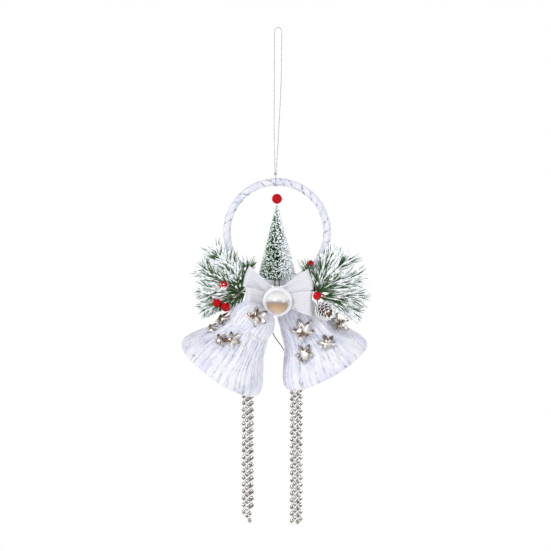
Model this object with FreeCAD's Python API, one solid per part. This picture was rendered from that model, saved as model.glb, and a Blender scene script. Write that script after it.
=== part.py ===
import FreeCAD, Part
import math
import os

V = FreeCAD.Vector

# A hanging Christmas ornament: two white bells under a wrapped hoop, with a small tree,
# a ribbon bow with a pearl, pine sprays, and two tassels of beads. Millimetres, +Z up.
# The origin is the top of the hanging loop, and -Y is the front.

# Driving dimensions
GAP = 0.3                      # clearance between soft solids and what they meet
THREAD_R = 0.45                # hanging thread
LOOP_KNOT_R = 1.3
HOOP_Z = -184.5                # centre of the hoop
HOOP_MAJOR = 45.1
HOOP_CORE_R = 2.3
HOOP_WRAP_R = 3.5
TREE_Y = 8.0
TREE_TOP_Z = -159.5
TREE_BASE_Z = -229.0
TREE_BASE_R = 18.0
TREE_STEM_R = 0.8
TREE_BEAD_R = 4.6
BELL_LENGTH = 70.0
BELL_TILT_BACK = 14.0          # the mouths tip away from the front by this many degrees
WRAP_THICKNESS = 0.9
SHELL_THICKNESS = 1.0
LAYER_GAP = 0.05
PEARL_R = 10.0
PEARL_CENTRE = V(0.4, -29.5, -248.1)
COLLAR_MAJOR = 10.5
COLLAR_MINOR = 3.0
COLLAR_CENTRE = V(0.4, -20.5, -247.0)
RIBBON_THICKNESS = 0.7
LEAF_THICKNESS = 0.4
LEAF_LIFT = 0.9                # a leaf's middle stands off the bell by this much
STRING_R = 0.25
BEAD_R = 1.98
BEAD_BORE_R = 0.45
BEAD_PITCH = 6.12
EYE_MAJOR = 2.4
EYE_WIRE_R = 0.6
RING_MAJOR = 2.6
RING_WIRE_R = 0.5
KNOT_R = 1.5
KNOT_LOOP_MAJOR = 1.5
KNOT_LOOP_R = 0.4
KNOT_DROP = 1.1

HOOP_TOP = V(0, 0, HOOP_Z + HOOP_MAJOR)
BINDING = V(0, 0, HOOP_Z - HOOP_MAJOR)


def save(name, shape):
    shape.exportStep("parts/" + name + ".step")


def join(shapes):
    first, rest = shapes[0], shapes[1:]
    return first.fuse(rest).removeSplitter() if rest else first


def ball(centre, radius):
    return Part.makeSphere(radius, centre)


def rod(start, end, radius):
    along = end - start
    return Part.makeCylinder(radius, along.Length, start, along)


def ring(centre, axis, major, minor):
    return Part.makeTorus(major, minor, centre, axis)


def turned(points):
    """A solid of revolution about Z through (radius, height) points, closed along the axis."""
    corners = [V(r, 0, z) for r, z in points]
    face = Part.Face(Part.makePolygon(corners + [corners[0]]))
    return face.revolve(V(0, 0, 0), V(0, 0, 1), 360)


def placed(shape, origin, axis):
    copy = shape.copy()
    copy.Placement = FreeCAD.Placement(origin, FreeCAD.Rotation(V(0, 0, 1), axis))
    return copy


def tube(name, points, radius):
    """A cord or wire: straight runs joined by tangent arcs, each as large as its runs allow."""
    edges, here, radii = [], points[0], []
    for before, corner, after in zip(points, points[1:], points[2:]):
        back, on = before - corner, after - corner
        half_turn = (math.pi - back.getAngle(on)) / 2
        bend = 0.45 * min(back.Length, on.Length) / math.tan(half_turn)
        reach = bend * math.tan(half_turn)
        back.normalize()
        on.normalize()
        enter, leave = corner + back * reach, corner + on * reach
        middle = (back + on).normalize() * (bend / math.cos(half_turn) - bend)
        edges.append(Part.LineSegment(here, enter).toShape())
        edges.append(Part.Arc(enter, corner + middle, leave).toShape())
        radii.append(round(bend, 1))
        here = leave
    edges.append(Part.LineSegment(here, points[-1]).toShape())
    length = sum(edge.Length for edge in edges)
    section = Part.Wire(Part.makeCircle(radius, points[0], points[1] - points[0]))
    solid = Part.Wire(edges).makePipeShell([section], True, False)
    ratio = solid.Volume / (math.pi * radius**2 * length)
    print(name, "radii", radii, "length", round(length, 1), "volume ratio", round(ratio, 4))
    return solid


# ---------------------------------------------------------------- hanging thread

LOOP_ROUTE = [
    V(-1.8, 0, -130.6),
    V(-2.7, 0, -96.0),
    V(-2.3, 0, -48.0),
    V(-2.2, 0, -2.4),
    V(-0.3, 0, -0.45),
    V(2.4, 0, -0.45),
    V(4.3, 0, -2.4),
    V(3.9, 0, -50.0),
    V(1.4, 0, -96.0),
    V(-0.7, 0, -130.6),
]
KNOT_CENTRE = V(-1.3, 0, -132.0)


def loop_knot():
    """The knot, with the turn of thread that goes round the top of the hoop."""
    around = HOOP_WRAP_R + THREAD_R + 0.35
    rise = KNOT_CENTRE.z - HOOP_TOP.z
    lean = math.acos(around / rise)
    top = V(0, 0, rise)
    front = V(0, -around * math.sin(lean), around * math.cos(lean))
    back = V(0, around * math.sin(lean), around * math.cos(lean))
    edges = [
        Part.LineSegment(top, front).toShape(),
        Part.Arc(front, V(0, 0, -around), back).toShape(),
        Part.LineSegment(back, top).toShape(),
    ]
    legs = [ball(top, THREAD_R)]
    for edge in edges:
        start = edge.valueAt(edge.FirstParameter)
        along = edge.tangentAt(edge.FirstParameter)
        section = Part.Wire(Part.makeCircle(THREAD_R, start, along))
        legs.append(Part.Wire([edge]).makePipeShell([section], True, False))
    turn = join(legs)
    turn.translate(HOOP_TOP + V(KNOT_CENTRE.x, 0, 0))
    return join([turn, ball(KNOT_CENTRE, LOOP_KNOT_R)])


# ---------------------------------------------------------------- hoop and tree

def hoop_tube(radius):
    return ring(V(0, 0, HOOP_Z), V(0, 1, 0), HOOP_MAJOR, radius)


def tree_bristles():
    cone = turned([(0, TREE_TOP_Z), (2.0, TREE_TOP_Z - 1), (TREE_BASE_R, TREE_BASE_Z + 3),
                   (TREE_BASE_R - 4, TREE_BASE_Z), (0, TREE_BASE_Z - 1)])
    cone.translate(V(0, TREE_Y, 0))
    stem = rod(V(0, TREE_Y, TREE_TOP_Z + 5), V(0, TREE_Y, TREE_BASE_Z - 5), TREE_STEM_R + GAP)
    tied = Part.makeBox(6.4, 22, 14, V(-3.2, -5, BINDING.z - 7))
    return cone.cut(hoop_tube(HOOP_WRAP_R + GAP)).cut(tied).cut(stem)


def tree_stem():
    return rod(V(0, TREE_Y, TREE_TOP_Z + 3.0), V(0, TREE_Y, -240), TREE_STEM_R)


def tree_bead():
    centre = V(0, TREE_Y, TREE_TOP_Z + TREE_BEAD_R + 0.4)
    socket = rod(centre - V(0, 0, TREE_BEAD_R + 1), centre - V(0, 0, 1.8), TREE_STEM_R + 0.05)
    return ball(centre, TREE_BEAD_R).cut(socket)


# ---------------------------------------------------------------- bells

# Outline of a bell, as (distance from the crown, outside radius) with smooth curves between.
BELL_OUTLINE = [
    (0.0, 0.0),
    (1.2, 10.0),
    (4.5, 15.6),
    (10.0, 18.0),
    (22.0, 20.8),
    (38.0, 26.2),
    (52.0, 35.2),
    (62.0, 40.9),
    (68.0, 42.2),
    (70.0, 41.6),
]
OUTLINE_SAMPLES = 18


def bell_axis(side, tilt):
    back = math.radians(BELL_TILT_BACK)
    lean = math.radians(tilt)
    return V(side * math.sin(lean) * math.cos(back), math.sin(back),
             -math.cos(lean) * math.cos(back))


BELLS = {
    "left": {"crown": V(-12.6, -20.5, -251.8), "axis": bell_axis(-1, 35.0)},
    "right": {"crown": V(11.6, 3.5, -246.1), "axis": bell_axis(1, 29.5)},
}


def bell_curve(inset):
    """The outline moved inwards by inset, in the plane y = 0 with the crown at z = 0."""
    outer = Part.BSplineCurve()
    outer.interpolate([V(r, 0, s) for s, r in BELL_OUTLINE], InitialTangent=V(1, 0, 0),
                      FinalTangent=V(-0.6, 0, 1))
    if not inset:
        return outer
    points = [V(0, 0, inset)]
    for k in range(1, OUTLINE_SAMPLES + 1):
        at = outer.FirstParameter + (outer.LastParameter - outer.FirstParameter) * k / OUTLINE_SAMPLES
        along = outer.tangent(at)[0]
        points.append(outer.value(at) + V(-along.z, 0, along.x) * inset)
    inner = Part.BSplineCurve()
    inner.interpolate(points, InitialTangent=V(1, 0, 0))
    return inner


def bell_solid(inset=0.0):
    """The bell as one closed solid, inset from its outside. A negative inset is a clearance."""
    curve = bell_curve(inset)
    start, end = curve.StartPoint, curve.EndPoint
    edges = [curve.toShape(), Part.LineSegment(end, V(0, 0, end.z)).toShape(),
             Part.LineSegment(V(0, 0, end.z), start).toShape()]
    return Part.Face(Part.Wire(edges)).revolve(V(0, 0, 0), V(0, 0, 1), 360)


def below(height):
    return Part.makeCylinder(60, 30, V(0, 0, height))


def bell_layers():
    """The wrap and the shell inside it, crown at the origin and mouth towards +Z."""
    inside = bell_solid(WRAP_THICKNESS + LAYER_GAP + SHELL_THICKNESS)
    mouth = Part.makeCylinder(BELL_OUTLINE[-1][1] - 1.9, 8, V(0, 0, BELL_LENGTH - 4))
    lip_height = BELL_LENGTH - 1.6
    crown_hole = Part.makeCylinder(1.2, 12, V(0, 0, -4))
    pocket = bell_solid(WRAP_THICKNESS).cut(below(lip_height))
    wrap = bell_solid().cut([pocket, inside, mouth, crown_hole])
    shell = bell_solid(WRAP_THICKNESS + LAYER_GAP).cut(
        [below(lip_height - LAYER_GAP), inside, mouth, crown_hole])
    return wrap, shell


def bell_place(shape, side):
    return placed(shape, BELLS[side]["crown"], BELLS[side]["axis"])


EYES = {"left": V(-26.3, -0.5, -277.0), "right": V(17.4, 20.5, -268.0)}
HANGER_ROUTES = {
    "left": [V(-10.0, -10.5, -250.5), V(-4.5, -6.5, -238.5)],
    "right": [V(9.0, -2.0, -241.5), V(4.5, -6.5, -238.5)],
}


def hanger_outside(side, radius):
    """The stretch of hanger wire from the crown to the binding."""
    points = [BELLS[side]["crown"] - BELLS[side]["axis"] * 1.3] + HANGER_ROUTES[side]
    pieces = [ball(point, radius) for point in points]
    return pieces + [rod(start, end, radius) for start, end in zip(points, points[1:])]


def bell_hanger(side):
    """Wire through the crown: its outer end reaches the binding, its inner eye holds the tassel."""
    crown, axis, eye = BELLS[side]["crown"], BELLS[side]["axis"], EYES[side]
    inside = crown + axis * 9.0
    above = eye + V(0, 0, EYE_MAJOR)
    return join(hanger_outside(side, EYE_WIRE_R)
                + [rod(crown - axis * 1.3, inside, EYE_WIRE_R), ball(inside, EYE_WIRE_R),
                   rod(inside, above, EYE_WIRE_R), ring(eye, V(0, 1, 0), EYE_MAJOR, EYE_WIRE_R)])


# ---------------------------------------------------------------- tassels

# Each strand: its place across and from front to back, its beads, and how much lower they start.
STRANDS = {
    "left": [(-3.7, 2.1, 23, 0.0), (-0.7, -2.1, 23, 3.1), (1.8, 2.1, 24, 1.5), (3.7, -2.1, 22, 0.0)],
    "right": [(-4.0, 2.1, 26, 0.0), (-1.4, -2.1, 25, 3.1), (1.3, 2.1, 26, 1.2), (3.9, -2.1, 25, 4.0)],
}
FIRST_BEAD_DROP = 17.5         # from the knot to the highest bead
FAN_DROP = 14.0                # from the knot to where the strands hang straight
STRAND_TAIL = 1.0              # thread left below the last bead


def ring_centre(side):
    return EYES[side] - V(0, 0, EYE_MAJOR - EYE_WIRE_R - RING_WIRE_R - 0.05 + RING_MAJOR)


def tassel_ring(side):
    return ring(ring_centre(side), V(1, 0, 0), RING_MAJOR, RING_WIRE_R)


def knot_loop_centre(side):
    drop = RING_MAJOR - RING_WIRE_R - KNOT_LOOP_R - 0.05 + KNOT_LOOP_MAJOR
    return ring_centre(side) - V(0, 0, drop)


def knot_centre(side):
    return knot_loop_centre(side) - V(0, 0, KNOT_LOOP_MAJOR + KNOT_DROP)


def tassel_knot(side):
    """A thread loop round the jump ring, and the knot under it."""
    shape = join([ring(V(0, 0, 0), V(0, 1, 0), KNOT_LOOP_MAJOR, KNOT_LOOP_R),
                  ball(V(0, 0, -KNOT_LOOP_MAJOR - KNOT_DROP), KNOT_R)])
    shape.translate(knot_loop_centre(side))
    return shape


def strand_route(side, strand):
    across, deep, beads, lower = strand
    knot = knot_centre(side)
    top = knot + V(across * 0.18, deep * 0.25, -KNOT_R * 0.99)
    middle = knot + V(across * 0.7, deep * 0.7, -FAN_DROP * 0.53)
    straight = knot + V(across, deep, -FAN_DROP)
    last = bead_centres(side, strand)[-1]
    return [top, middle, straight, V(straight.x + 0.15, straight.y, last.z - BEAD_R - STRAND_TAIL)]


def bead_centres(side, strand):
    across, deep, beads, lower = strand
    first = knot_centre(side) + V(across, deep, -FIRST_BEAD_DROP - lower)
    return [first - V(0, 0, k * BEAD_PITCH) for k in range(beads)]


def strand_beads(side, strand):
    centres = bead_centres(side, strand)
    bore = rod(centres[0] + V(0, 0, 3), centres[-1] - V(0, 0, 3), BEAD_BORE_R)
    return Part.makeCompound([ball(centre, BEAD_R).cut(bore) for centre in centres])


# ---------------------------------------------------------------- bow and pearl

# Each loop runs from its root near the pearl to its outer fold: root, fold, width at the fold.
BOW_LOOPS = {
    "bow_upper_left_loop": (V(-5, -14.0, -240.4), V(-28.5, -17.0, -223.5), 17.5),
    "bow_lower_left_loop": (V(-6, -14.5, -245), V(-28.5, -22.5, -242.1), 13.2),
    "bow_upper_right_loop": (V(5, -14.0, -240), V(31.0, -17.0, -226.5), 18.0),
    "bow_lower_right_loop": (V(8, -15.5, -246), V(31.5, -18.0, -248.8), 19.0),
}
FOLD_R = 3.4
BOW_ROOT_HALF = 4.0            # half the ribbon's width where it is gathered


def bow_loop(root, fold, width):
    """A ribbon folded back on itself: a teardrop band, narrow where the bow is gathered."""
    along = fold - root
    length = along.Length
    centre = length - FOLD_R
    angle = math.acos(FOLD_R / centre)

    def outline(inset):
        radius = FOLD_R - inset
        start = inset / math.cos(angle)
        upper = V(centre - radius * math.cos(angle), radius * math.sin(angle), 0)
        lower = V(upper.x, -upper.y, 0)
        tip = V(centre + radius, 0, 0)
        root_point = V(start, 0, 0)
        wire = Part.Wire([Part.LineSegment(root_point, lower).toShape(),
                          Part.Arc(lower, tip, upper).toShape(),
                          Part.LineSegment(upper, root_point).toShape()])
        return Part.Face(wire)

    deep = 2 * width
    band = outline(0).cut(outline(RIBBON_THICKNESS)).extrude(V(0, 0, deep))
    band.translate(V(0, 0, -deep / 2))
    near, far = BOW_ROOT_HALF, width / 2
    wedge = Part.Face(Part.makePolygon([V(-1, -20, -near), V(length + 1, -20, -far),
                                        V(length + 1, -20, far), V(-1, -20, near),
                                        V(-1, -20, -near)])).extrude(V(0, 40, 0))
    loop = band.common(wedge)
    x_axis = V(along).normalize()
    y_axis = V(0, 1, 0)
    z_axis = x_axis.cross(y_axis).normalize()
    y_axis = z_axis.cross(x_axis)
    turn = FreeCAD.Matrix(x_axis.x, y_axis.x, z_axis.x, root.x,
                          x_axis.y, y_axis.y, z_axis.y, root.y,
                          x_axis.z, y_axis.z, z_axis.z, root.z,
                          0, 0, 0, 1)
    return loop.transformGeometry(turn)


def bow_tie_band():
    outer = Part.makeBox(7.0, 5.0, 10.0, V(-3.1, -15.5, -248.0))
    return outer.makeFillet(1.5, outer.Edges)


def pearl_collar():
    soft = ring(COLLAR_CENTRE, V(0, 1, 0), COLLAR_MAJOR, COLLAR_MINOR)
    return soft.cut([bell_place(bell_solid(-GAP), "left")] + hanger_outside("left", 1.2))


# ---------------------------------------------------------------- sprays, berries and cone

# Twigs as (start, tip, tuft radius). Needles fill a spindle round each twig.
TWIGS = {
    "left": [
        (V(-33, -11.5, -236), V(-60, -10.5, -196), 7.5),
        (V(-33, -11.5, -233), V(-46, -12.5, -206), 6.5),
        (V(-36, -12.5, -238), V(-69, -10.5, -216), 7.5),
        (V(-38, -13.5, -240), V(-70, -9.5, -236), 7.0),
        (V(-42, -9.5, -243), V(-66, -3.5, -254), 5.5),
    ],
    "right": [
        (V(36, -9.5, -236), V(52, -9.5, -202), 7.0),
        (V(37, -10.5, -236), V(66, -10.5, -205), 7.5),
        (V(38, -11.5, -238), V(76, -9.5, -224), 7.5),
        (V(42, -9.5, -242), V(78, -6.5, -242), 7.0),
        (V(50, -1.5, -246), V(72, 0.5, -258), 5.5),
    ],
}
SPRAY_ROOT = {"left": V(-6.0, -8.5, -236.0), "right": V(6.0, -8.5, -236.0)}
SPRAY_ELBOW = {"left": V(-31.0, -8.5, -238.0), "right": V(34.5, -7.5, -237.0)}
TWIG_R = 0.5
BERRY_WIRE_R = 0.35
CONE_WIRE_R = 0.5


def tuft(start, tip, radius):
    """The needles of one twig as a soft solid: it widens to the middle and narrows to the tip."""
    along = tip - start
    half = along.Length / 2
    return Part.makeCone(radius * 0.4, radius, half, start, along).fuse(
        Part.makeCone(radius, radius * 0.4, half, start + along * 0.5, along))


def twig_wires(side):
    elbow = SPRAY_ELBOW[side]
    wires = [rod(SPRAY_ROOT[side], elbow, 1.0), ball(elbow, 1.0)]
    for start, _, _ in TWIGS[side]:
        wires.append(rod(elbow, start + (elbow - start).normalize() * GAP, TWIG_R))
    return wires


def spray_needles(side, keep_clear):
    """Tufts of needles, one solid each, every tuft clear of the ones before it."""
    tufts, taken = [], list(keep_clear)
    for start, tip, radius in TWIGS[side]:
        shape = tuft(start, tip, radius)
        for other in taken:
            if shape.BoundBox.intersect(other.BoundBox):
                shape = shape.cut(other)
        tufts.append(max(shape.Solids, key=lambda solid: solid.Volume))
        taken.append(tuft(start, tip, radius + GAP))
    return Part.makeCompound(tufts)


# Berries: centre, radius and the foot of the berry's own wire on the spray.
BERRIES = {
    "left": [(V(-53.6, -17.5, -248.3), 4.0), (V(-46.0, -21.5, -252.0), 4.0),
             (V(-47.7, -21.0, -232.5), 3.8)],
    "right": [(V(36.0, -20.0, -242.0), 3.8), (V(30.2, -8.0, -212.5), 2.6)],
}


def berry_wires(side, extra=0.0):
    foot = SPRAY_ELBOW[side] + V(-1.0 if side == "left" else 1.0, -8.0, -1.0)
    wires = [ball(foot, 0.45 + extra)]
    for centre, radius in BERRIES[side]:
        wires.append(rod(foot, centre + (foot - centre).normalize() * (radius + LAYER_GAP),
                         BERRY_WIRE_R + extra))
    return wires


CONE_CENTRE = V(42.0, -19.0, -254.5)
CONE_AXIS = V(0.45, -0.75, -0.25)
CONE_LENGTH = 20.0
CONE_R = 9.6
CONE_TIERS = 6
CONE_WIRE_FOOT = SPRAY_ELBOW["right"] + V(1.0, 1.0, -2.5)


def pine_cone():
    """Tiers of scales round an egg-shaped body."""
    points, step = [(0, -CONE_LENGTH / 2)], CONE_LENGTH / CONE_TIERS
    for k in range(CONE_TIERS):
        low = -CONE_LENGTH / 2 + k * step
        swell = CONE_R * math.sqrt(1 - ((low + step * 0.35) / (CONE_LENGTH * 0.56)) ** 2)
        points += [(swell * 0.72, low), (swell, low + step * 0.8)]
    points += [(CONE_R * 0.3, CONE_LENGTH / 2), (0, CONE_LENGTH / 2)]
    return placed(turned(points), CONE_CENTRE, CONE_AXIS)


def pine_cone_wire():
    behind = CONE_CENTRE - V(CONE_AXIS).normalize() * (CONE_LENGTH / 2 + GAP)
    return rod(behind, CONE_WIRE_FOOT, CONE_WIRE_R)


# ---------------------------------------------------------------- silver leaves

LEAF_HALF_OUTLINE = [(0.0, 0.03), (0.10, 0.30), (0.26, 0.50), (0.36, 0.24), (0.60, 0.46),
                     (0.68, 0.18), (1.0, 0.0)]
# Leaves on each bell: distance from the crown, angle round it from the front, turn, length, width.
LEAVES = {
    "left_dome_leaf": ("left", [(8.5, 0, 155, 17, 14)]),
    "left_bell_leaves": ("left", [(30.5, -66, 205, 14, 10), (41.5, -60, 215, 12, 9),
                                  (42.5, -27, 190, 12, 9.5), (36.5, -12, 170, 15, 11)]),
    "right_bell_leaves": ("right", [(27, -6, 180, 18, 17), (45, -22, 195, 16, 14),
                                    (45.5, 18, 165, 14, 13), (38, 66, 60, 22, 16)]),
}


def leaf(length, width):
    upper = [V(x * length, y * width, 0) for x, y in LEAF_HALF_OUTLINE]
    lower = [V(p.x, -p.y, 0) for p in reversed(upper[:-1])]
    corners = upper + lower
    return Part.Face(Part.makePolygon(corners + [corners[0]])).extrude(V(0, 0, LEAF_THICKNESS))


def bell_radius(station):
    curve = bell_curve(0.0)
    cut = Part.LineSegment(V(0, 0, station), V(60, 0, station))
    return curve.toShape().distToShape(cut.toShape())[1][0][0].x


def leaves_on_bell(side, leaves, lift):
    """Flat leaves that lie against the wrap, each touching nothing by the lift given."""
    found = []
    axis = BELLS[side]["axis"]
    front = (V(0, -1, 0) - axis * V(0, -1, 0).dot(axis)).normalize()
    across = front.cross(axis)
    for station, around, turn, length, width in leaves:
        angle = math.radians(around)
        out = front * math.cos(angle) + across * math.sin(angle)
        radius = bell_radius(station)
        slope = (bell_radius(station + 2) - bell_radius(station - 2)) / 4
        normal = (out - axis * slope).normalize()
        along = (axis - normal * axis.dot(normal)).normalize()
        spot = BELLS[side]["crown"] + axis * station + out * radius + normal * lift
        plate = leaf(length, width)
        plate.translate(V(-length / 2, 0, 0))
        plate.rotate(V(0, 0, 0), V(0, 0, 1), turn)
        side_way = normal.cross(along)
        plate = plate.transformGeometry(FreeCAD.Matrix(
            along.x, side_way.x, normal.x, spot.x, along.y, side_way.y, normal.y, spot.y,
            along.z, side_way.z, normal.z, spot.z, 0, 0, 0, 1))
        found.append(plate)
    return Part.makeCompound(found)


# ---------------------------------------------------------------- binding wire

BINDING_WIRE_R = 0.5
TAIL_WIRE_R = 0.45
TAIL_ROUTE = [
    V(1.0, 2.5, -241.5),
    V(-3.5, 1.5, -250.0),
    V(-5.2, -1.0, -262.0),
    V(-5.4, -3.0, -272.0),
    V(-1.5, -4.5, -280.0),
    V(4.0, -5.0, -287.0),
    V(6.2, -5.0, -291.0),
]


def binding_turn(x):
    """One closed turn of wire round the foot of the hoop and the tree stem behind it."""
    reach, length = HOOP_WRAP_R + GAP + BINDING_WIRE_R, TREE_Y + 2 * TREE_STEM_R
    front, back = V(x, 0, BINDING.z), V(x, length, BINDING.z)
    up = V(0, 0, reach)
    path = Part.Wire([Part.LineSegment(front + up, back + up).toShape(),
                      Part.Arc(back + up, back + V(0, reach, 0), back - up).toShape(),
                      Part.LineSegment(back - up, front - up).toShape(),
                      Part.Arc(front - up, front - V(0, reach, 0), front + up).toShape()])
    section = Part.Wire(Part.makeCircle(BINDING_WIRE_R, front + up, V(0, 1, 0)))
    return path.makePipeShell([section], True, False)


def binding_wire():
    return Part.makeCompound([binding_turn(-2.0), binding_turn(2.0)])


# ---------------------------------------------------------------- make every node

os.makedirs("parts", exist_ok=True)

save("hanging_loop", tube("hanging_loop", LOOP_ROUTE, THREAD_R))
save("loop_knot", loop_knot())
save("hoop_core", hoop_tube(HOOP_CORE_R))
save("hoop_wrap", hoop_tube(HOOP_WRAP_R).cut(hoop_tube(HOOP_CORE_R + LAYER_GAP)))
save("tree_stem", tree_stem())
save("tree_bristles", tree_bristles())
save("tree_bead", tree_bead())
save("binding_wire", binding_wire())
save("binding_tail", tube("binding_tail", TAIL_ROUTE, TAIL_WIRE_R))

left_clear = bell_place(bell_solid(-GAP), "left")
right_clear = bell_place(bell_solid(-GAP), "right")
bells_clear = [left_clear, right_clear]
hoop_clear = hoop_tube(HOOP_WRAP_R + GAP)

for name, (root, fold, width) in BOW_LOOPS.items():
    save(name, bow_loop(root, fold, width).cut(bells_clear + [hoop_clear]))
save("bow_tie_band", bow_tie_band())
save("pearl_collar", pearl_collar())
save("pearl", ball(PEARL_CENTRE, PEARL_R))

wrap, shell = bell_layers()
for side in BELLS:
    save(side + "_bell_wrap", bell_place(wrap, side))
    save(side + "_bell_shell", bell_place(shell, side))
    save(side + "_bell_hanger", bell_hanger(side))
    save(side + "_tassel_ring", tassel_ring(side))
    save(side + "_tassel_knot", tassel_knot(side))
    for number, strand in enumerate(STRANDS[side], 1):
        route = strand_route(side, strand)
        thread = "{}_tassel_thread_{}".format(side, number)
        save(thread, tube(thread, route, STRING_R))
        save("{}_tassel_beads_{}".format(side, number), strand_beads(side, strand))

for side in TWIGS:
    berries = [ball(centre, radius) for centre, radius in BERRIES[side]]
    room = [ball(centre, radius + GAP) for centre, radius in BERRIES[side]]
    room += berry_wires(side, GAP) + twig_wires(side) + bells_clear + [hoop_clear]
    if side == "right":
        room += [rod(CONE_CENTRE, CONE_WIRE_FOOT, CONE_WIRE_R + GAP), ball(CONE_CENTRE, CONE_R + 1.2)]
    save(side + "_spray_wires", join(twig_wires(side)))
    save(side + "_spray_needles", spray_needles(side, room))
    save(side + "_berries", Part.makeCompound(berries))
    save(side + "_berry_wires", join(berry_wires(side)))
save("pine_cone", pine_cone())
save("pine_cone_wire", pine_cone_wire())

for name, (side, leaves) in LEAVES.items():
    save(name, leaves_on_bell(side, leaves, LEAF_LIFT))
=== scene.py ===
import math

import bpy
import numpy as np
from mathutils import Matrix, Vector


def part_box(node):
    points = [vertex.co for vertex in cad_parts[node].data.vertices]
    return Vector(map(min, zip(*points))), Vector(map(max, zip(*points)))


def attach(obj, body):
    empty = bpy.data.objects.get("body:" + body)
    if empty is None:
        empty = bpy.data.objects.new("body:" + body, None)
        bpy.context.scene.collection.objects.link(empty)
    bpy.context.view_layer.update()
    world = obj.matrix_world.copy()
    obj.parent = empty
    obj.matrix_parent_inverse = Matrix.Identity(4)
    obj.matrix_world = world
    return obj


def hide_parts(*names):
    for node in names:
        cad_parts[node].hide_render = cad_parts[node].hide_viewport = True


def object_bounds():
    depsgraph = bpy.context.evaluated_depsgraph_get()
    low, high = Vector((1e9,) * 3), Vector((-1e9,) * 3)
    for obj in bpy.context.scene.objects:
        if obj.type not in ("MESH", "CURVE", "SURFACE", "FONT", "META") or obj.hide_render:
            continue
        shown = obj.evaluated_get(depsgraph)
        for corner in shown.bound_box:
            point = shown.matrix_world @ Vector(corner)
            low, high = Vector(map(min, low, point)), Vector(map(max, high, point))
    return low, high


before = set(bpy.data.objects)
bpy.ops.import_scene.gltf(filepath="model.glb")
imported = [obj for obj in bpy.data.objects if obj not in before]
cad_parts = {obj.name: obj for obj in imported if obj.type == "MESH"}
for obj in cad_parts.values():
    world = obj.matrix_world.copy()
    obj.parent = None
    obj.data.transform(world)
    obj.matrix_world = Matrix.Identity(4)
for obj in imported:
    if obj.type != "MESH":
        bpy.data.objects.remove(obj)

CAD_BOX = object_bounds()
MM = 0.001
GOLDEN_ANGLE = 2.399963              # radians, which spreads a spiral evenly

# ---------------------------------------------------------------- camera, light and floor

VIEW_WIDTH = 0.496                   # metres across the view at the ornament
VIEW_CENTRE = (-0.00135, -0.2237)    # x and z
LENS = 250.0                         # a long lens, as the bells show no perspective
SENSOR = 36.0
LIGHT_AIM = (0, 0, -0.26)
WORLD_GREYS = ((0.20, 1.0), (0.5, 0.4))
FLOOR_R = 5.5
FLOOR_SIDES = 64
FLOOR_DROP = 0.45
FLOOR_GLOW = 0.3


def make_camera():
    data = bpy.data.cameras.new("camera")
    data.lens = LENS
    data.sensor_width = SENSOR
    camera = bpy.data.objects.new("camera", data)
    camera.location = (VIEW_CENTRE[0], -VIEW_WIDTH * LENS / SENSOR, VIEW_CENTRE[1])
    camera.rotation_euler = (math.radians(90), 0, 0)
    bpy.context.scene.collection.objects.link(camera)
    bpy.context.scene.camera = camera


def area_light(name, place, size, power):
    data = bpy.data.lights.new(name, "AREA")
    data.shape = "DISK"
    data.size = size
    data.energy = power
    lamp = bpy.data.objects.new(name, data)
    lamp.location = place
    lamp.rotation_euler = (Vector(LIGHT_AIM) - Vector(place)).to_track_quat("-Z", "Y").to_euler()
    bpy.context.scene.collection.objects.link(lamp)


def make_world():
    """A soft studio all round: bright at the sides, and greyer straight above and below."""
    world = bpy.data.worlds.new("studio")
    world.use_nodes = True
    tree = world.node_tree
    place = tree.nodes.new("ShaderNodeTexCoord")
    axes = tree.nodes.new("ShaderNodeSeparateXYZ")
    height = tree.nodes.new("ShaderNodeMath")
    height.operation = "ABSOLUTE"
    ramp = tree.nodes.new("ShaderNodeValToRGB")
    for element, (position, grey) in zip(ramp.color_ramp.elements, WORLD_GREYS):
        element.position = position
        element.color = (grey, grey, grey, 1)
    tree.links.new(place.outputs["Generated"], axes.inputs["Vector"])
    tree.links.new(axes.outputs["Z"], height.inputs[0])
    tree.links.new(height.outputs["Value"], ramp.inputs["Fac"])
    tree.links.new(ramp.outputs["Color"], tree.nodes["Background"].inputs["Color"])
    bpy.context.scene.world = world
    bpy.context.scene.view_settings.view_transform = "Standard"


def make_floor():
    """A wide pale disc well below the hanging ornament."""
    mesh = bpy.data.meshes.new("floor")
    level = CAD_BOX[0][2] - FLOOR_DROP
    angles = np.arange(FLOOR_SIDES) * 2 * math.pi / FLOOR_SIDES
    rim = [(FLOOR_R * math.cos(a), FLOOR_R * math.sin(a), level) for a in angles]
    mesh.from_pydata(rim, [], [tuple(range(FLOOR_SIDES))])
    floor = bpy.data.objects.new("floor", mesh)
    bpy.context.scene.collection.objects.link(floor)
    pale = material("pale_floor", (0.95, 0.95, 0.95), rough=0.9, noise=(4, 0.01))
    shader = pale.node_tree.nodes["Principled BSDF"]
    shader.inputs["Emission Color"].default_value = (1, 1, 1, 1)
    shader.inputs["Emission Strength"].default_value = FLOOR_GLOW
    floor.data.materials.append(pale)


def make_studio():
    area_light("key", (-0.8, -1.3, 0.7), 0.3, 12.5)
    area_light("rim", (0.9, 0.9, 0.5), 0.7, 5)
    area_light("side", (1.3, -0.7, 0.0), 0.5, 2.5)
    make_world()
    make_floor()


# ---------------------------------------------------------------- materials

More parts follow.
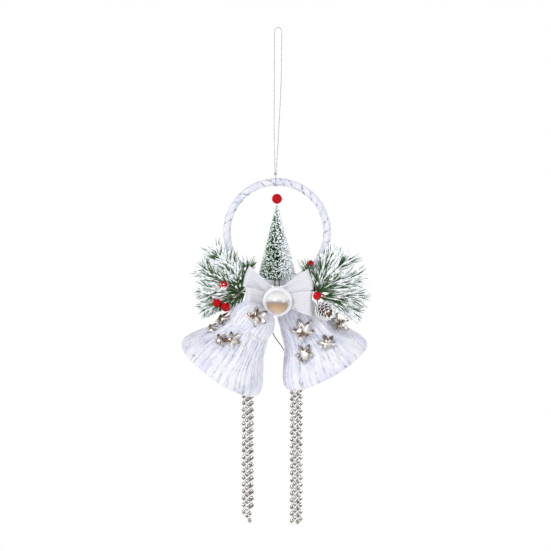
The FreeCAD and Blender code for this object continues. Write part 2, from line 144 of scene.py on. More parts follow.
class Nodes:
    """A short way to write a material's nodes."""

    def __init__(self, name):
        self.mat = bpy.data.materials.new(name)
        self.mat.use_nodes = True
        self.tree = self.mat.node_tree
        self.shader = self.tree.nodes["Principled BSDF"]

    def add(self, kind, **values):
        node = self.tree.nodes.new(kind)
        for key, value in values.items():
            if key in node.inputs:
                node.inputs[key].default_value = value
            else:
                setattr(node, key, value)
        return node

    def link(self, source, target):
        self.tree.links.new(source, target)

    def feed(self, socket, value):
        """Set a number or a colour on a socket, or link another node's output to it."""
        if isinstance(value, (int, float)):
            socket.default_value = value
        elif isinstance(value, tuple):
            socket.default_value = (*value, 1)
        else:
            self.link(value, socket)

    def place(self):
        """Object coordinates, which stay with the piece."""
        return self.add("ShaderNodeTexCoord").outputs["Object"]

    def noise(self, scale, detail=3.0):
        texture = self.add("ShaderNodeTexNoise", Scale=scale, Detail=detail)
        self.link(self.place(), texture.inputs["Vector"])
        return texture.outputs["Fac"]

    def ramp(self, source, stops):
        ramp = self.add("ShaderNodeValToRGB")
        elements = ramp.color_ramp.elements
        while len(elements) < len(stops):
            elements.new(0.5)
        for element, (position, colour) in zip(elements, stops):
            element.position = position
            element.color = (*colour, 1)
        self.link(source, ramp.inputs["Fac"])
        return ramp.outputs["Color"]

    def attribute(self, name):
        return self.add("ShaderNodeAttribute", attribute_name=name).outputs["Fac"]

    def mix(self, factor, first, second):
        node = self.add("ShaderNodeMix", data_type="RGBA")
        for socket, value in zip([s for s in node.inputs if s.enabled], (factor, first, second)):
            self.feed(socket, value)
        return [s for s in node.outputs if s.enabled][0]

    def math(self, operation, first, second=0.0):
        node = self.add("ShaderNodeMath", operation=operation)
        for socket, value in zip(node.inputs, (first, second)):
            self.feed(socket, value)
        return node.outputs["Value"]

    def uneven(self, source, amount):
        """Noise spread evenly about nought."""
        return self.math("MULTIPLY", self.math("SUBTRACT", source, 0.5), amount)

    def bump(self, height, strength, distance):
        node = self.add("ShaderNodeBump", Strength=strength, Distance=distance)
        self.link(height, node.inputs["Height"])
        self.link(node.outputs["Normal"], self.shader.inputs["Normal"])

    def set(self, **values):
        for key, value in values.items():
            self.feed(self.shader.inputs[key.replace("_", " ")], value)

    def roughness(self, source, low, high):
        node = self.add("ShaderNodeMapRange")
        node.inputs["To Min"].default_value = low
        node.inputs["To Max"].default_value = high
        self.link(source, node.inputs["Value"])
        self.link(node.outputs["Result"], self.shader.inputs["Roughness"])


def shade(colour, factor):
    return tuple(min(1.0, channel * factor) for channel in colour)


def material(name, colour, rough=0.5, metal=0.0, noise=(300, 0.08), bump=None, coat=0.0, sheen=0.0,
             specular=0.5):
    """A colour broken up by noise, with rough and smooth patches and a fine grain."""
    n = Nodes(name)
    scale, spread = noise
    speckle = n.noise(scale)
    n.set(Base_Color=n.ramp(speckle, [(0.3, shade(colour, 1 - spread)), (0.7, shade(colour, 1 + spread))]),
          Metallic=metal, Coat_Weight=coat, Sheen_Weight=sheen, Specular_IOR_Level=specular)
    n.roughness(speckle, max(0.02, rough - 0.06), min(1.0, rough + 0.06))
    if bump:
        n.bump(n.noise(bump[0]), bump[1], bump[2])
    return n.mat


def wrap_material(name, seam_colour, strength):
    """White paper fibre with painted shade in its seams and creases, silver-grey flecks and fine lengthwise
    fibres.
    """
    n = Nodes(name)
    seam_and_shade = n.attribute("seam_and_shade")
    fleck = n.noise(300, 4)
    gap = n.noise(110, 2)
    base = n.ramp(n.noise(70, 3), [(0.32, (0.74, 0.76, 0.90)), (0.52, (0.90, 0.91, 0.98)),
                                   (0.75, (0.95, 0.92, 0.95))])
    present = n.math("MULTIPLY", n.math("GREATER_THAN", fleck, 0.5), n.math("GREATER_THAN", gap, 0.47))
    marks = n.math("MULTIPLY", seam_and_shade, present)
    # Painted shade: the seam value tints the creases and steps grey-lavender.
    tinted = n.mix(n.math("MULTIPLY", seam_and_shade, 0.6), base, (0.52, 0.53, 0.68))
    specks = n.math("GREATER_THAN", n.noise(520, 2), 0.69)
    spotted = n.mix(n.math("MULTIPLY", specks, 0.55), tinted, (0.45, 0.45, 0.5))
    streaked = n.mix(n.math("MULTIPLY", n.attribute("streak"), 0.75), spotted, (0.50, 0.51, 0.64))
    n.set(Base_Color=n.mix(n.math("MULTIPLY", marks, strength), streaked, seam_colour), Sheen_Weight=0.2)
    n.roughness(fleck, 0.55, 0.8)
    n.bump(n.noise(900, 4), 0.45, 0.0005)
    return n.mat


def frosted_material(name, deep, light, rough=0.75, painted_glow=0.1):
    """Green where bare, white where the flock has settled, by the frost kept in the mesh; the white glows a
    little as painted light.
    """
    n = Nodes(name)
    frost = n.attribute("frost")
    patch = n.noise(700, 3)
    green = n.ramp(patch, [(0.3, deep), (0.7, light)])
    snow = n.ramp(n.noise(1500, 2), [(0.3, (0.90, 0.93, 0.97)), (0.7, (0.98, 0.99, 1.0))])
    white = n.math("GREATER_THAN", n.math("ADD", frost, n.uneven(patch, 0.5)), 0.5)
    # Painted light: the white flock is given a faint glow.
    n.set(Base_Color=n.mix(white, green, snow), Emission_Color=(0.9, 0.95, 1.0),
          Emission_Strength=n.math("MULTIPLY", white, painted_glow))
    n.roughness(patch, rough - 0.1, rough + 0.1)
    n.bump(n.noise(2500, 2), 0.3, 0.0002)
    return n.mat


def pearl_material():
    """Pearl with painted light and shade by height: white above, a dark band across the middle and a warm
    brown painted reflection below, with a soft coat.
    """
    n = Nodes("pearl_painted_reflection")
    place = n.add("ShaderNodeSeparateXYZ")
    n.link(n.place(), place.inputs["Vector"])
    low, high = (corner[2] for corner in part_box("pearl"))
    height = n.add("ShaderNodeMapRange")
    height.inputs["From Min"].default_value = low
    height.inputs["From Max"].default_value = high
    n.link(place.outputs["Z"], height.inputs["Value"])
    wavy = n.math("ADD", height.outputs["Result"], n.uneven(n.noise(60, 2), 0.25))
    # Painted by height: white painted light on top, a dark band of painted shade, and a warm painted
    # reflection at the bottom.
    colour = n.ramp(wavy, [(0.10, (0.66, 0.49, 0.33)), (0.34, (0.44, 0.28, 0.13)),
                           (0.50, (0.30, 0.25, 0.24)), (0.60, (0.70, 0.68, 0.68)),
                           (0.70, (0.97, 0.96, 0.96))])
    n.set(Base_Color=colour, Metallic=0.15, Coat_Weight=0.7, Coat_Roughness=0.08, Sheen_Weight=0.1)
    n.roughness(n.noise(250, 2), 0.18, 0.28)
    return n.mat


def silver_bead_material():
    """Bright metallised plastic with painted light on top and painted brown-grey shade underneath, by which
    way the surface faces.
    """
    n = Nodes("silver_bead")
    facing_for_shade = n.add("ShaderNodeSeparateXYZ")
    n.link(n.add("ShaderNodeTexCoord").outputs["Normal"], facing_for_shade.inputs["Vector"])
    blotch = n.uneven(n.noise(330, 2), 1.1)
    # Painted light and shade from the surface's facing: light upwards, dark downwards, broken by noise.
    height = n.math("ADD", n.math("ADD", n.math("MULTIPLY", facing_for_shade.outputs["Z"], 0.5), 0.5), blotch)
    colour = n.ramp(height, [(0.18, (0.17, 0.13, 0.11)), (0.44, (0.45, 0.40, 0.37)),
                             (0.68, (0.91, 0.89, 0.87))])
    n.set(Base_Color=colour, Metallic=0.9)
    n.roughness(n.noise(500, 2), 0.12, 0.26)
    return n.mat


def ribbon_material():
    """White woven ribbon with fine ribs across it."""
    n = Nodes("ribbed_ribbon")
    cross = n.noise(2600, 2)
    weave = n.math("MULTIPLY", n.math("ADD", n.attribute("rib"), n.attribute("line")), 0.5)
    base = n.ramp(weave, [(0.1, (0.50, 0.51, 0.57)), (0.5, (0.68, 0.69, 0.74)), (0.9, (0.83, 0.83, 0.88))])
    n.set(Base_Color=n.mix(n.math("MULTIPLY", cross, 0.3), base, (0.97, 0.97, 1.0)), Sheen_Weight=0.35)
    n.roughness(cross, 0.5, 0.75)
    n.bump(n.math("ADD", weave, n.math("MULTIPLY", cross, 0.5)), 0.5, 0.0004)
    return n.mat


def leaf_material():
    """Silver foil with painted shade, warm and dark, in its hollows, and dark and bright patches painted as
    reflections.
    """
    n = Nodes("silver_foil")
    # The hollow value paints shade between the ribs.
    rib = n.attribute("hollow_shade")
    patch = n.noise(190, 2)
    # Dark and bright patches by noise are painted reflections.
    base = n.ramp(patch, [(0.42, (0.20, 0.15, 0.12)), (0.50, (0.66, 0.60, 0.56)),
                          (0.58, (0.95, 0.93, 0.91))])
    n.set(Base_Color=n.mix(n.math("MULTIPLY", rib, 0.75), base, (0.16, 0.11, 0.09)), Metallic=0.9)
    n.roughness(patch, 0.16, 0.34)
    n.bump(n.noise(1200, 2), 0.25, 0.0003)
    return n.mat


# ---------------------------------------------------------------- mesh helpers

def new_piece(name, points, faces, mat, body="ornament", smooth=True, values=None):
    """A mesh piece in the row frame. points are in millimetres, and values are named point values."""
    mesh = bpy.data.meshes.new(name)
    mesh.from_pydata((np.asarray(points, float) * MM).tolist(), [], [list(face) for face in faces])
    for key, data in (values or {}).items():
        attribute = mesh.attributes.new(key, "FLOAT", "POINT")
        attribute.data.foreach_set("value", np.asarray(data, np.float32))
    if smooth:
        mesh.shade_smooth()
    mesh.materials.append(mat)
    piece = bpy.data.objects.new(name, mesh)
    bpy.context.scene.collection.objects.link(piece)
    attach(piece, body)
    return piece


def grid_faces(rows, columns, close_columns=True, close_rows=False, start=0):
    faces = []
    for i in range(rows if close_rows else rows - 1):
        for j in range(columns if close_columns else columns - 1):
            a, b = i * columns + j, i * columns + (j + 1) % columns
            c, d = (i + 1) % rows * columns + (j + 1) % columns, (i + 1) % rows * columns + j
            faces.append((start + a, start + b, start + c, start + d))
    return faces


def slab_faces(rows, columns):
    """Faces of a thin slab: a front grid, a back grid whose points follow it, and the four edges."""
    back = rows * columns
    faces = grid_faces(rows, columns, False)
    faces += [tuple(reversed(face)) for face in grid_faces(rows, columns, False, start=back)]
    for i in range(rows - 1):
        for j in (0, columns - 1):
            a, b = i * columns + j, (i + 1) * columns + j
            faces.append((a, b, back + b, back + a) if j else (b, a, back + a, back + b))
    for j in range(columns - 1):
        for i in (0, rows - 1):
            a, b = i * columns + j, i * columns + j + 1
            faces.append((b, a, back + a, back + b) if i else (a, b, back + b, back + a))
    return faces


class Batch:
    """Many small shapes gathered into one mesh."""

    def __init__(self):
        self.points, self.faces, self.values, self.count = [], [], [], 0

    def add(self, points, faces, value=0.0):
        points = np.asarray(points, float)
        self.points.append(points)
        self.faces += [tuple(i + self.count for i in face) for face in faces]
        self.values.append(np.broadcast_to(value, len(points)))
        self.count += len(points)

    def piece(self, name, mat, body="ornament", smooth=True, key="frost"):
        return new_piece(name, np.concatenate(self.points), self.faces, mat, body, smooth,
                         {key: np.concatenate(self.values)})


def unit(v):
    v = np.asarray(v, float)
    return v / max(np.linalg.norm(v), 1e-9)


def square_to(axis):
    """Two unit directions square to axis."""
    axis = unit(axis)
    other = np.array([0, 0, 1.0]) if abs(axis[2]) < 0.9 else np.array([1.0, 0, 0])
    first = unit(np.cross(axis, other))
    return first, np.cross(axis, first)


def swing(first, second, angle):
    """The direction at an angle from first towards second."""
    return first * math.cos(angle) + second * math.sin(angle)


def ring_points(centre, axis, radius, sides, turn=0.0):
    first, second = square_to(axis)
    angles = turn + np.arange(sides) * 2 * math.pi / sides
    return centre + radius * (np.outer(np.cos(angles), first) + np.outer(np.sin(angles), second))


def turning_frames(tangents):
    """For each tangent, two unit directions square to it that don't twist along the path."""
    first, _ = square_to(tangents[0])
    frames = []
    for tangent in tangents:
        tangent = unit(tangent)
        first = unit(first - tangent * first.dot(tangent))
        frames.append((first, np.cross(tangent, first)))
    return frames


def tube_shape(path, radii, sides=8):
    """Points and faces of a closed tube along a path."""
    path = np.asarray(path, float)
    radii = np.broadcast_to(radii, len(path))
    angles = np.arange(sides) * 2 * math.pi / sides
    frames = turning_frames(np.gradient(path, axis=0))
    rings = [centre + radius * (np.outer(np.cos(angles), first) + np.outer(np.sin(angles), second))
             for centre, radius, (first, second) in zip(path, radii, frames)]
    points = np.concatenate(rings)
    faces = grid_faces(len(path), sides)
    faces += [tuple(reversed(range(sides))), tuple(range(len(points) - sides, len(points)))]
    return points, faces


def ball_shape(centre, radius, rows=12, columns=18, axis=(0, 0, 1), dimple=0.0, stretch=1.0):
    """A bead: a ball, stretched along its axis, with a small dimple at each end of that axis."""
    axis = unit(axis)
    first, second = square_to(axis)
    points = []
    for i in range(rows + 1):
        polar = math.pi * i / rows
        out = radius * math.sin(polar)
        up = radius * math.cos(polar) * stretch
        if i in (0, rows):
            up *= 1 - dimple
        for j in range(columns):
            side = swing(first, second, 2 * math.pi * j / columns)
            points.append(centre + axis * up + side * max(out, 1e-4))
    points = np.array(points)
    body = points[columns:-columns]
    ends = np.array([points[0], points[-1]])
    top, bottom, last = len(body), len(body) + 1, len(body) - columns
    faces = grid_faces(rows - 1, columns)
    faces += [(top, (j + 1) % columns, j) for j in range(columns)]
    faces += [(bottom, last + j, last + (j + 1) % columns) for j in range(columns)]
    return np.concatenate([body, ends]), faces


def route_line(points, steps=12):
    """The smooth line of a route: a NURBS spline with the points as its control points."""
    curve = nurbs("route", points)
    bare = bpy.data.objects.new("route", curve)
    curve.splines[0].resolution_u = steps
    mesh = bpy.data.meshes.new_from_object(bare)
    line = np.array([v.co for v in mesh.vertices]) / MM
    bpy.data.meshes.remove(mesh)
    bpy.data.objects.remove(bare)
    bpy.data.curves.remove(curve)
    return line


def nurbs(name, points):
    curve = bpy.data.curves.new(name, "CURVE")
    curve.dimensions = "3D"
    spline = curve.splines.new("NURBS")
    spline.points.add(len(points) - 1)
    for point, place in zip(spline.points, points):
        point.co = (*(c * MM for c in place), 1)
    spline.order_u = 3
    spline.use_endpoint_u = True
    return curve


def distances(line):
    """How far along a line each of its points is."""
    return np.concatenate([[0], np.cumsum(np.linalg.norm(np.diff(line, axis=0), axis=1))])


def sample(line, count):
    """Points on a line, evenly spaced."""
    along = distances(line)
    at = np.linspace(0, along[-1], count)
    return np.stack([np.interp(at, along, column) for column in line.T], axis=1)


def twisted_batch(line, radius, pitch, step):
    """Two plies twisted round a line, together as thick as twice the radius."""
    line = sample(line, max(3, int(distances(line)[-1] / step) + 1))
    frames = turning_frames(np.gradient(line, axis=0))
    batch, along = Batch(), np.arange(len(line)) * step
    for k in range(PLIES):
        angles = 2 * math.pi * (along / pitch + k / PLIES)
        path = np.array([p + 0.5 * radius * swing(f, s, a) for p, (f, s), a in zip(line, frames, angles)])
        points, faces = tube_shape(path, radius * 0.52, 5)
        batch.add(points, faces, 0.5 + 0.5 * math.cos(k))
    return batch, line


# ---------------------------------------------------------------- the hanging thread

LOOP_ROUTE = [(-1.8, 0, -130.6), (-2.7, 0, -96.0), (-2.3, 0, -48.0), (-2.2, 0, -7.8), (-2.2, 0, -2.4),
              (-0.3, 0, -0.45), (2.4, 0, -0.45), (4.3, 0, -2.4), (4.25, 0, -7.8), (3.9, 0, -50.0),
              (1.4, 0, -96.0), (-0.7, 0, -130.6)]
KNOT = np.array([-1.3, 0, -132.0])
KNOT_TILTS = (0.5, -0.45, 0.1)
KNOT_STEP = 0.55
THREAD_R = 0.45
THREAD_CLEARANCE = 0.8
PLIES = 2
PLY_PITCH = 2.6
PLY_STEP = 0.33
HOOP_CENTRE = np.array([0, 0, -184.5])
HOOP_MAJOR = 45.1
HOOP_R = 3.5
HOOP_TOP = HOOP_CENTRE + [0, 0, HOOP_MAJOR]


def thread_material():
    n = Nodes("grey_thread")
    fibre = n.noise(3000, 3)
    glint = n.noise(900, 1)
    base = n.ramp(fibre, [(0.3, (0.30, 0.30, 0.32)), (0.7, (0.62, 0.62, 0.64))])
    n.set(Base_Color=n.mix(n.math("GREATER_THAN", glint, 0.6), base, (0.85, 0.85, 0.87)), Sheen_Weight=0.4)
    n.roughness(fibre, 0.4, 0.7)
    n.bump(fibre, 0.4, 0.0001)
    return n.mat


def make_loop_knot(thread):
    """The turn of thread round the hoop, and three winds of it at the knot."""
    around = HOOP_R + THREAD_CLEARANCE
    rise = KNOT[2] - HOOP_TOP[2]
    lean = math.acos(around / rise)
    angles = np.linspace(lean, 2 * math.pi - lean, 40)
    path = np.array([[0, -around * math.sin(a), around * math.cos(a)] for a in angles])
    path = np.concatenate([[[0, 0, rise]], path, [[0, 0, rise]]]) + HOOP_TOP + [KNOT[0], 0, 0]
    plies, _ = twisted_batch(path, THREAD_R, PLY_PITCH, PLY_STEP)
    turn = Batch()
    turn.add(np.concatenate(plies.points), plies.faces)
    angles = np.linspace(0, 2 * math.pi, 25)
    for level, tilt in zip((-1, 0, 1), KNOT_TILTS):
        wind = np.stack([np.cos(angles), np.sin(angles) * math.cos(tilt),
                         np.sin(angles) * math.sin(tilt) + level * KNOT_STEP], axis=1) + KNOT
        turn.add(*tube_shape(wind, 0.42, 8))
    knot = turn.piece("thread_knot", thread, "loop_knot")
    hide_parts("loop_knot")
    return knot


def make_hanging_loop(thread):
    batch, line = twisted_batch(route_line(LOOP_ROUTE), THREAD_R, PLY_PITCH, PLY_STEP)
    loop = batch.piece("hanging_loop_thread", thread, "hanging_loop")
    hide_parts("hanging_loop")
    knot = make_loop_knot(thread)


# ---------------------------------------------------------------- hoop

HOOP_TURNS = 30


def make_hoop(wrap):
    """A paper strip wound round the ring: each turn rises to its edge and steps down on the next."""
    columns, rows = 36, HOOP_TURNS * 14
    rng = np.random.default_rng(4)
    around = np.arange(rows) * 2 * math.pi / rows
    jitter = np.interp(around, np.linspace(0, 2 * math.pi, 60), np.append(rng.normal(0, 0.12, 59), 0))
    points, seam_and_shade = [], []
    streak = 0.25 + 0.5 * rng.random((rows, columns)) ** 2
    for t, wobble in zip(around, jitter):
        out = np.array([math.sin(t), 0, math.cos(t)])
        for j in range(columns):
            phi = 2 * math.pi * j / columns
            turn = (HOOP_TURNS * t / (2 * math.pi) + 2 * phi / (2 * math.pi) + wobble) % 1.0
            height = 0.38 * turn ** 0.6 - 0.34 + 0.14 * math.sin(5 * phi + 9 * t)
            radius = HOOP_R + height
            points.append(HOOP_CENTRE + out * (HOOP_MAJOR + radius * math.cos(phi))
                          + np.array([0, radius * math.sin(phi), 0]))
            # The seam value rises at each step between turns, where it paints shade and places dark flecks.
            seam_and_shade.append(max(0.0, 1 - min(turn, 1 - turn) / 0.13))
    hoop = new_piece("hoop_strip", points, grid_faces(rows, columns, True, True), wrap,
                     values={"seam_and_shade": seam_and_shade, "streak": streak.ravel()})
    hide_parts("hoop_wrap")


# ---------------------------------------------------------------- tree

TREE_Y = 8.0
TREE_TOP = np.array([0, TREE_Y, -159.5])
TREE_HEIGHT = 69.5
TREE_BASE_R = 18.0
TREE_TIP_R = 1.2
TREE_FOOT = [0, TREE_Y, -239.8]
BRISTLES = 6200


def bristle_shape(root, tip, frost_at, thick, white):
    """One bristle: green to where its frost starts, then swelling when its tip is white."""
    along = tip - root
    stations = ((root, thick), (root + along * frost_at, thick), (tip, thick * (2.1 if white else 0.6)))
    points = np.concatenate([ring_points(spot, along, radius, 3) for spot, radius in stations])
    return points, grid_faces(3, 3) + [(6, 7, 8)], [0, 0, 0, 0.05, 0.05, 0.05] + [float(white)] * 3


def meets_hoop(spot):
    """Whether a spot is inside the wrapped ring."""
    from_ring = math.hypot(spot[0], spot[2] - HOOP_CENTRE[2]) - HOOP_MAJOR
    return math.hypot(from_ring, spot[1]) < HOOP_R + 0.5


def make_bristles(bristle):
    """Bristles in a spiral down the cone, with more and longer frost on the right."""
    rng = np.random.default_rng(11)
    batch = Batch()
    for k in range(BRISTLES):
        share = math.sqrt((k + 0.5) / BRISTLES)
        reach = (TREE_TIP_R + (TREE_BASE_R - TREE_TIP_R) * share) * rng.uniform(0.8, 1.02)
        angle = k * GOLDEN_ANGLE + rng.normal(0, 0.05)
        out = np.array([math.cos(angle), math.sin(angle), 0])
        root = TREE_TOP - [0, 0, min(TREE_HEIGHT * share, TREE_HEIGHT - 2)]
        tip = root + out * reach + [0, 0, rng.uniform(0.02, 0.24) * reach - 0.5]
        if meets_hoop(tip):
            continue
        frost_at = rng.uniform(0.66, 0.88) - 0.16 * max(0.0, out[0])
        white = rng.random() < 0.46 + 0.26 * out[0]
        batch.add(*bristle_shape(root, tip, frost_at, 0.17 + 0.05 * share, white))
        if white and rng.random() < 0.8:
            size = rng.uniform(0.38, 0.72)
            lump, faces = ball_shape(tip - out * rng.uniform(0, 1.2), size, 4, 5, out, stretch=1.5)
            batch.add(lump, faces, 1.0)
    tree = batch.piece("tree_brush", bristle, smooth=False)
    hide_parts("tree_bristles")


def make_tree(bristle, wire, red):
    make_bristles(bristle)
    core, _ = twisted_batch(np.array([TREE_TOP - [0, 0, 3.0], [0, TREE_Y, -200], TREE_FOOT]), 0.8, 3.0, 0.5)
    stem = core.piece("tree_wire_core", wire)
    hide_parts("tree_stem")
    points, faces = ball_shape(TREE_TOP + [0, 0, 5.0], 4.6, 24, 36, dimple=0.08)
    bead = new_piece("tree_top_bead", points, faces, red)
    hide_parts("tree_bead")


# ---------------------------------------------------------------- bells

BELL_OUTLINE = [(0.0, 0.0), (1.2, 10.0), (4.5, 15.6), (10.0, 18.0), (22.0, 20.8), (38.0, 26.2),
                (52.0, 35.2), (62.0, 40.9), (68.0, 42.2), (70.0, 41.6)]
TILT_BACK = math.radians(14.0)


def bell_axis(side, tilt):
    lean = math.radians(tilt)
    return np.array([side * math.sin(lean) * math.cos(TILT_BACK), math.sin(TILT_BACK),
                     -math.cos(lean) * math.cos(TILT_BACK)])


BELLS = {"left": (np.array([-12.6, -20.5, -251.8]), bell_axis(-1, 35.0)),
         "right": (np.array([11.6, 3.5, -246.1]), bell_axis(1, 29.5))}


def smooth_outline(samples):
    """Points along the bell's outline, evenly spaced, with their outward normals."""
    line = np.array([(r, s) for s, r in BELL_OUTLINE], float)
    knots = distances(line)
    fine = np.linspace(0, knots[-1], 600)
    even = sample(np.stack([catmull(fine, knots, column) for column in line.T], axis=1), samples)
    slope = np.gradient(even, axis=0)
    slope /= np.linalg.norm(slope, axis=1)[:, None]
    return even, np.stack([slope[:, 1], -slope[:, 0]], axis=1)


def catmull(at, knots, values):
    """A smooth curve through the values, by cubic pieces that share their slopes."""
    slopes = np.gradient(values, knots)
    i = np.clip(np.searchsorted(knots, at) - 1, 0, len(knots) - 2)
    width = knots[i + 1] - knots[i]
    t = (at - knots[i]) / width
    return ((2 * t**3 - 3 * t**2 + 1) * values[i] + (t**3 - 2 * t**2 + t) * width * slopes[i]
            + (3 * t**2 - 2 * t**3) * values[i + 1] + (t**3 - t**2) * width * slopes[i + 1])


def bell_frame(side):
    crown, axis = BELLS[side]
    front = unit(np.array([0, -1.0, 0]) - axis * axis.dot([0, -1.0, 0]))
    return crown, axis, front, np.cross(front, axis)


def bell_point(side, station, angle, lift=0.0):
    """A point on a bell's outside, its outward normal, and the direction down the bell."""
    crown, axis, front, across = bell_frame(side)
    stations, radii = zip(*BELL_OUTLINE)
    out = swing(front, across, angle)
    radius = np.interp(station, stations, radii)
    slope = (np.interp(station + 2, stations, radii) - np.interp(station - 2, stations, radii)) / 4
    normal = unit(out - axis * slope)
    down = unit(axis - normal * axis.dot(normal))
    return crown + axis * station + out * radius + normal * lift, normal, down


STRIPS = 44
BELL_COLUMNS = STRIPS * 11
BELL_ROWS = 96
HEAD_STATION = 23.5
# The lip turns in: radius and distance from the crown.
LIP = [(40.9, 70.35), (40.1, 70.3), (39.75, 69.6), (39.7, 68.4)]


def streaks(rng, rows, columns):
    """Fine streaks along the rows' direction, from 0 to 1, that come and go."""
    marks = rng.random((14, columns)) ** 3
    marks = 0.7 * marks + 0.3 * np.roll(marks, 1, axis=1)
    at = np.linspace(0, 13, rows)
    low = np.clip(at.astype(int), 0, 12)
    part = (at - low)[:, None]
    return marks[low] * (1 - part) + marks[low + 1] * part


class Strips:
    """The chance sizes of one bell's strips: their edges, creases and waviness."""

    def __init__(self, rng):
        widths = rng.uniform(0.5, 1.6, STRIPS)
        self.edges = np.concatenate([[0], np.cumsum(widths / widths.sum())])
        self.depth = rng.choice([0.4, 0.6, 0.85, 1.15], STRIPS, p=[0.35, 0.3, 0.2, 0.15])
        self.start = 0.15 + 14.0 * np.abs(rng.normal(0, 0.012, (STRIPS, 3))[:, 0])
        self.bulge = rng.uniform(0.1, 0.4, STRIPS)
        self.waves = rng.uniform(0, 2 * math.pi, 6)
        self.streak = streaks(rng, BELL_ROWS, BELL_COLUMNS)

    def surface(self, share, t):
        """The lift of the surface and how deep a crease is there, at shares of the way down and round."""
        waves = self.waves
        sway = 0.010 * math.sin(3.1 * share + waves[0]) + 0.004 * math.sin(9 * share + waves[1])
        place = (t + sway + 0.004 * math.sin(2 * math.pi * (3 * t + 2 * share) + waves[2])) % 1.0
        k = min(int(np.searchsorted(self.edges, place, "right")) - 1, STRIPS - 1)
        width = self.edges[k + 1] - self.edges[k]
        cell = (place - self.edges[k]) / width
        fade = min(1.0, max(0.0, (share - min(0.45, self.start[k]) * 0.5) / 0.12))
        fade *= 0.55 + 0.45 * math.sin(2.2 * share * math.pi + waves[3] + k) ** 2
        depth = self.depth[k] if cell < 0.5 else self.depth[(k + 1) % STRIPS]
        crease = math.exp(-(min(cell, 1 - cell) * width * BELL_COLUMNS / 1.9) ** 2) * fade * depth
        lift = self.bulge[k] * math.sin(math.pi * cell) * (0.3 + 0.7 * share) - 0.9 * crease
        lift += 0.25 * cell - 0.35 + 0.14 * math.sin(2 * math.pi * 5 * t + 14 * share + waves[4])
        return lift, crease


def head_and_crease(side, station):
    """The left bell has a round head, set off by a crease whose depth also paints shade along it."""
    if side != "left":
        return 0.0, 0.0
    crease = math.exp(-((station - HEAD_STATION) / 1.5) ** 2)
    return 1.5 * math.exp(-((station - 13) / 6.5) ** 2) - 1.1 * crease, crease


def bell_rows(side, strips):
    """Points of the outside, row by row from the crown to the lip, and of the lip, with seam depths that
    paint shade into the creases.
    """
    crown, axis, front, across = bell_frame(side)
    turns = np.arange(BELL_COLUMNS) / BELL_COLUMNS
    outs = [swing(front, across, 2 * math.pi * t) for t in turns]
    points, seam_and_shade = [], []
    for i, ((radius, station), (out_n, along_n)) in enumerate(zip(*smooth_outline(BELL_ROWS))):
        head, head_crease = head_and_crease(side, station)
        for t, out in zip(turns, outs):
            lift, crease = strips.surface(i / (BELL_ROWS - 1), t)
            lift += head - 0.16 * strips.streak[i, int(t * BELL_COLUMNS) % BELL_COLUMNS]
            points.append(crown + axis * (station + along_n * lift) + out * max(radius + out_n * lift, 0.05))
            # Painted shade: the seam value darkens the creases between strips and the head's crease.
            seam_and_shade.append(min(1.0, 1.1 * crease + 0.5 * head_crease))
    for radius, station in LIP:
        for t, out in zip(turns, outs):
            ripple = 0.12 * math.sin(STRIPS * 2 * math.pi * t)
            points.append(crown + axis * station + out * (radius + ripple))
            # A faint painted shade, with flecks, all round the turned-in lip.
            seam_and_shade.append(0.12)
    return points, seam_and_shade


def make_bell(side, wrap, seed):
    """Strips laid lengthwise over the bell, with creases between them, turned in at the lip."""
    rng = np.random.default_rng(seed)
    strips = Strips(rng)
    points, seam_and_shade = bell_rows(side, strips)
    streak = np.concatenate([strips.streak.ravel(), np.zeros(len(LIP) * BELL_COLUMNS)])
    faces = grid_faces(BELL_ROWS + len(LIP), BELL_COLUMNS)
    bell = new_piece(side + "_bell_strips", points, faces, wrap, values={"seam_and_shade": seam_and_shade, "streak": streak})
    bell.data.flip_normals()
    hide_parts(side + "_bell_wrap")
    make_fibres(side, wrap, rng)


def make_fibres(side, wrap, rng):
    """Loose raised fibres that follow the strips, some painted as dark lines of crease shade."""
    batch = Batch()
    for k in range(60):
        angle = rng.uniform(-2.4, 2.4)
        start = rng.uniform(10, 50)
        end = min(68.5, start + rng.uniform(8, 26))
        stations = np.linspace(start, end, 9)
        angles = angle + 0.05 * np.sin(np.linspace(0, 3, 9) + k) + rng.normal(0, 0.04)
        path = [bell_point(side, s, a, 0.02)[0] for s, a in zip(stations, angles)]
        points, faces = tube_shape(path, np.linspace(0.22, 0.1, 9) * rng.uniform(0.6, 1.3), 5)
        # About four fibres in ten carry a high seam value, which paints them as dark lines of crease shade.
        batch.add(points, faces, float(rng.random() < 0.4) * 0.95)
    fibres = batch.piece(side + "_bell_fibres", wrap, key="seam_and_shade")


# ---------------------------------------------------------------- silver leaves

# Leaves on each bell: distance from the crown, angle round it from the front, turn, length, width.
LEAVES = {
    "left_dome_leaf": ("left", [(8.5, 0, 155, 17, 14)]),
    "left_bell_leaves": ("left", [(30.5, -66, 205, 14, 10), (41.5, -60, 215, 12, 9),
                                  (42.5, -27, 190, 12, 9.5), (36.5, -12, 170, 15, 11)]),
    "right_bell_leaves": ("right", [(27, -6, 180, 18, 17), (45, -22, 195, 16, 14),
                                    (45.5, 18, 165, 14, 13), (38, 66, 60, 22, 16)]),
}
# Each lobe: its direction in degrees, its length as a share of the leaf, and its spread in degrees.
LOBES = [(0, 1.0, 22), (56, 0.95, 21), (-56, 0.95, 21), (114, 0.74, 23), (-114, 0.74, 23)]
LEAF_COLUMNS = 96
LEAF_ROWS = 9
LEAF_ARCH = 2.2


